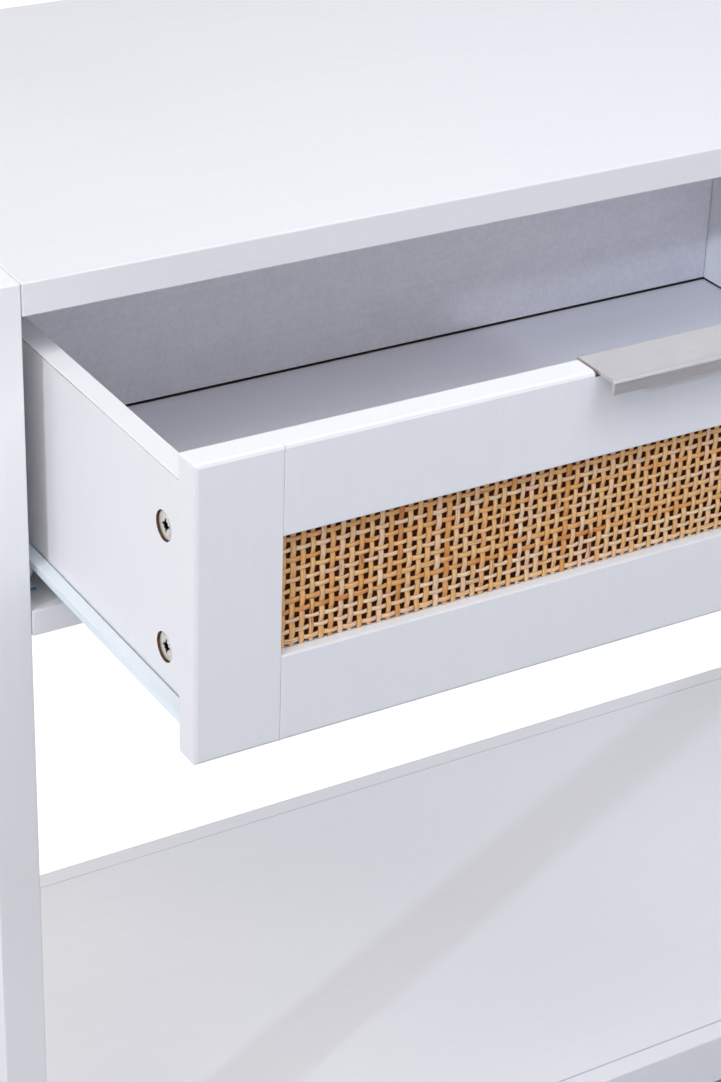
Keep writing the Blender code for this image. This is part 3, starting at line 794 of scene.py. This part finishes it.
def dress_top_rail(drawer):
    """Where the rail is notched for the handle, a pale cut edge shows, and raw board at the front."""
    beside, deep = 1.6 * MM, 2.8 * MM
    raw_depth, raw_soft, cut_start = 2.2 * MM, 0.3 * MM, 0.5 * MM
    low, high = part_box(f"{drawer}_handle")
    rail_low, rail_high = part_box(f"{drawer}_top_rail")
    across = slab(0, low.x - beside, high.x + beside)
    upper = slab(2, rail_high.z - deep, rail_high.z + PAST)
    front = slab(1, rail_low.y - PAST, rail_low.y + raw_depth, soft=raw_soft)
    inner = slab(1, rail_low.y + cut_start, rail_high.y + PAST)
    cut = all_of(across, upper, inner)
    marks = ((cut, PALE_EDGE), (all_of(across, upper, front), RAW_EDGE))
    paint(f"{drawer}_top_rail", laminate(f"{drawer}_top_rail_laminate", "z", marks=marks))


def dress_box(drawer):
    """The back, with raw board in its groove made near black as painted shade, and the bottom, painted the
    same where it runs under the back and the sides.
    """
    back_low, back_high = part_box(f"{drawer}_back")
    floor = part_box(f"{drawer}_bottom")[0].z
    inside = slab(1, back_low.y + GROOVE_MOUTH, back_low.y + GROOVE_REACH, soft=GROOVE_SOFT)
    level = slab(2, floor - GROOVE_BELOW, floor + BACK_GROOVE_ABOVE, ragged=GROOVE_RAGGED)
    marks = ((all_of(inside, level), SHADED_RAW_BOARD),)
    # Painted shade tint: the box's foil is a cooler white.
    foil = laminate(f"{drawer}_foil", "x", FOIL, FOIL_DIM, mottle=0.22, marks=marks)
    paint(f"{drawer}_back", foil)
    left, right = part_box(f"{drawer}_left_side")[1].x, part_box(f"{drawer}_right_side")[0].x
    hard = 0.02 * MM
    beyond_sides = 20 * MM
    # Painted shade: near black where the bottom runs under the back and the sides.
    hidden = (
        slab(1, back_low.y, back_high.y + PAST, soft=hard),
        slab(0, left - beyond_sides, left, soft=hard),
        slab(0, right, right + beyond_sides, soft=hard),
    )
    marks = [(mask, SHADED_RAW_BOARD) for mask in hidden]
    # Painted light: the bottom's foil is whiter than the back's.
    paint(f"{drawer}_bottom", laminate(f"{drawer}_painted_light_bottom_foil", "x", DRAWER_BOTTOM_LIT_FOIL, DRAWER_BOTTOM_LIT_FOIL_DIM, marks=marks))


def dress_side(drawer, side):
    """A side: raw board in its groove, made near black as painted shade; its bores, drilled board darkened by
    painted shade; a thin grey-brown line along its top outer edge; and raw board here and there on that edge.
    """
    low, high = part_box(f"{drawer}_{side}_side")
    outward = -1 if side == "left" else 1
    outer, inner = (low.x, high.x) if side == "left" else (high.x, low.x)
    desk_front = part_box("worktop")[0].y
    lip_bottom, lip_top = 0.78 * MM, 0.34 * MM
    worn_from, worn_soft = 45 * MM, 30 * MM
    cam_face, cam_depth = 1.5 * MM, 20 * MM
    bore_clearance = 0.3 * MM
    # A thin grey-brown line all along the top outer edge, with raw board in patches on it towards the rear.
    lip = all_of(
        slab(0, outer - 0.2 * MM, outer + 0.2 * MM, soft=0.05 * MM),
        slab(2, high.z - lip_bottom, high.z - lip_top, soft=0.08 * MM, ragged=0.14 * MM),
    )
    shaded = slab(1, desk_front - worn_from, high.y, soft=worn_soft)
    bare = all_of(lip, shaded, patches(120.0, 0.30, 0.48))
    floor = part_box(f"{drawer}_bottom")[0].z
    start, end = sorted((inner + outward * GROOVE_MOUTH, inner + outward * GROOVE_REACH))
    # Painted shade: raw board near black inside the groove.
    groove = all_of(
        slab(0, start, end, soft=GROOVE_SOFT),
        slab(2, floor - GROOVE_BELOW, floor + SIDE_GROOVE_ABOVE, ragged=GROOVE_RAGGED),
    )
    # Painted shade: the cams below their face, where the cross slots go, are made near black.
    recess = slab(0, *sorted((outer - outward * cam_face, outer - outward * cam_depth)))
    zinc = cast_zinc(f"{drawer}_{side}_cast_zinc", recess)
    marks = [(lip, GREY_BROWN_EDGE_LINE), (bare, RAW_EDGE), (groove, SHADED_RAW_BOARD)]
    for height in ("lower", "upper"):
        cam_low, cam_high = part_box(f"{drawer}_{side}_{height}_cam")
        centre = (cam_low + cam_high) / 2
        # Painted shade: each bore's wall and ragged rim, drilled board, made near black.
        bore = round_bore(centre.y, centre.z, (cam_high.z - cam_low.z) / 2 + bore_clearance)
        marks.append((bore, DRILLED_BOARD_IN_SHADE))
        paint(f"{drawer}_{side}_{height}_cam", zinc)
    paint(f"{drawer}_{side}_side", laminate(f"{drawer}_{side}_side_laminate", "z", marks=marks))


def track_contact_shade(track):
    """A mask for the edge of a track's flange that lies against the drawer's side, where a contact shadow is
    painted.
    """
    reach, soft = 0.75 * MM, 0.05 * MM
    side = "left" if "_left_track" in track else "right"
    low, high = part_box(track.replace("_track", "_side"))
    board = low.x if side == "left" else high.x
    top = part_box(track)[1].z
    return all_of(
        slab(0, board - reach, board + reach, soft=soft),
        slab(2, top - reach, top + PAST, soft=soft),
    )


def dress_slides():
    """Channels, tracks and rollers."""
    # Painted shade on each channel's cut front end, which is also bare steel.
    bare_shaded_end = 0.9 * MM
    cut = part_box("left_bay_left_channel")[0].y
    steel = coated_steel("channel_steel", slab(1, cut - PAST, cut + bare_shaded_end))
    nylon = moulded_nylon()
    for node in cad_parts:
        if node.endswith("_channel"):
            paint(node, steel)
        elif node.endswith("_track"):
            paint(node, coated_steel(f"{node}_steel", track_contact_shade(node)))
        elif node.endswith("_roller"):
            paint(node, nylon)


# ---------------------------------------------------------------- studio


def make_floor():
    """A flat floor just under the desk's feet."""
    corners = ((-1, -1), (1, -1), (1, 1), (-1, 1))
    points = [(x * FLOOR_REACH, y * FLOOR_REACH, 0) for x, y in corners]
    mesh = bpy.data.meshes.new("studio_floor")
    mesh.from_pydata(points, [], [(0, 1, 2, 3)])
    floor = bpy.data.objects.new("studio_floor", mesh)
    floor.location.z = -FLOOR_DROP
    bpy.context.scene.collection.objects.link(floor)
    mesh.materials.append(floor_material())


def floor_material():
    """Pale grey in front, rising to lit white behind the desk."""
    made = Surface("studio_floor", roughness=0.9)
    place = made.place()
    cloud = made.noise(place, 0.6, detail=1.0)
    made.colour(made.mix(cloud, (0.54, 0.54, 0.56), (0.56, 0.56, 0.58)))
    behind = made.band(made.split(place)[1], *WHITE_FROM, 0.0, WHITE_GLOW)
    made.tree.links.new(behind, made.shader.inputs["Emission Strength"])
    made.shader.inputs["Emission Color"].default_value = (1.0, 1.0, 1.0, 1.0)
    return made.made


def area_light(name, place, aim, size, power, colour):
    data = bpy.data.lights.new(name, "AREA")
    data.shape = "RECTANGLE"
    data.size, data.size_y = size
    data.energy = power
    data.color = colour
    made = bpy.data.objects.new(name, data)
    made.location = place
    made.rotation_mode = "QUATERNION"
    made.rotation_quaternion = (Vector(aim) - Vector(place)).to_track_quat("-Z", "Y")
    made.visible_camera = False
    bpy.context.scene.collection.objects.link(made)


def make_lights():
    """An even world, the soft panels, and one harder light from the left for the clear shadows."""
    world = bpy.data.worlds.new("studio")
    world.use_nodes = True
    background = world.node_tree.nodes["Background"]
    background.inputs["Color"].default_value = (*WORLD_COLOUR, 1.0)
    background.inputs["Strength"].default_value = WORLD_STRENGTH
    bpy.context.scene.world = world
    for name, place, aim, size, power, colour in SOFT_LIGHTS:
        area_light(name, place, aim, size, power, colour)
    sun = bpy.data.lights.new("key", "SUN")
    sun.energy = KEY_STRENGTH
    sun.color = KEY_COLOUR
    sun.angle = KEY_SPREAD
    key = bpy.data.objects.new("key", sun)
    key.rotation_mode = "QUATERNION"
    key.rotation_quaternion = Vector(KEY_HEADING).to_track_quat("-Z", "Y")
    bpy.context.scene.collection.objects.link(key)


def make_camera():
    """The camera, turned by its azimuth and pitch, and then rolled about its own axis."""
    azimuth = math.radians(CAMERA_AZIMUTH)
    pitch = math.radians(CAMERA_PITCH)
    roll = math.radians(CAMERA_ROLL)
    flat = math.cos(pitch)
    forward = Vector((math.sin(azimuth) * flat, math.cos(azimuth) * flat, math.sin(pitch)))
    level = Vector((math.cos(azimuth), -math.sin(azimuth), 0))
    down = forward.cross(level)
    right = level * math.cos(roll) + down * math.sin(roll)
    up = right.cross(forward)
    data = bpy.data.cameras.new("camera")
    data.lens = CAMERA_LENS
    data.sensor_width = CAMERA_SENSOR
    data.clip_start = 0.05
    data.clip_end = 100.0
    camera = bpy.data.objects.new("camera", data)
    camera.location = CAMERA_PLACE
    camera.rotation_mode = "QUATERNION"
    camera.rotation_quaternion = Matrix((right, up, -forward)).transposed().to_quaternion()
    bpy.context.scene.collection.objects.link(camera)
    bpy.context.scene.camera = camera


def build_scene():
    dress_desk()
    dress_slides()
    nickel = brushed("brushed_nickel", (0.668, 0.635, 0.642), (0.764, 0.730, 0.735), 0.52)
    plated = brushed("plated_steel", (0.44, 0.44, 0.43), (0.62, 0.62, 0.61), 0.34, (900, 900, 900))
    cane = cane_material()
    # Painted shade: the near-black board that shows through the cane's holes.
    hole_shade = fibreboard("hole_shade_board", (0.045, 0.010, 0.003), (0.115, 0.031, 0.008))
    raw = fibreboard("raw_board", (0.16, 0.085, 0.04), (0.30, 0.17, 0.085))
    glue = glue_and_seam_shade()
    filler = laminate("joint_filler", "x")
    for bay in SIDES:
        drawer = f"{bay}_drawer"
        dress_drawer(drawer, nickel)
        weave_cane(drawer, cane)
        cane_backing(drawer, hole_shade, raw)
        handle_screws(drawer, plated)
        for side in SIDES:
            joint_glue(drawer, side, glue, filler)
            slide_screws(bay, side, plated)
    make_floor()
    make_lights()
    make_camera()
    bpy.context.scene.view_settings.view_transform = "Standard"


build_scene()
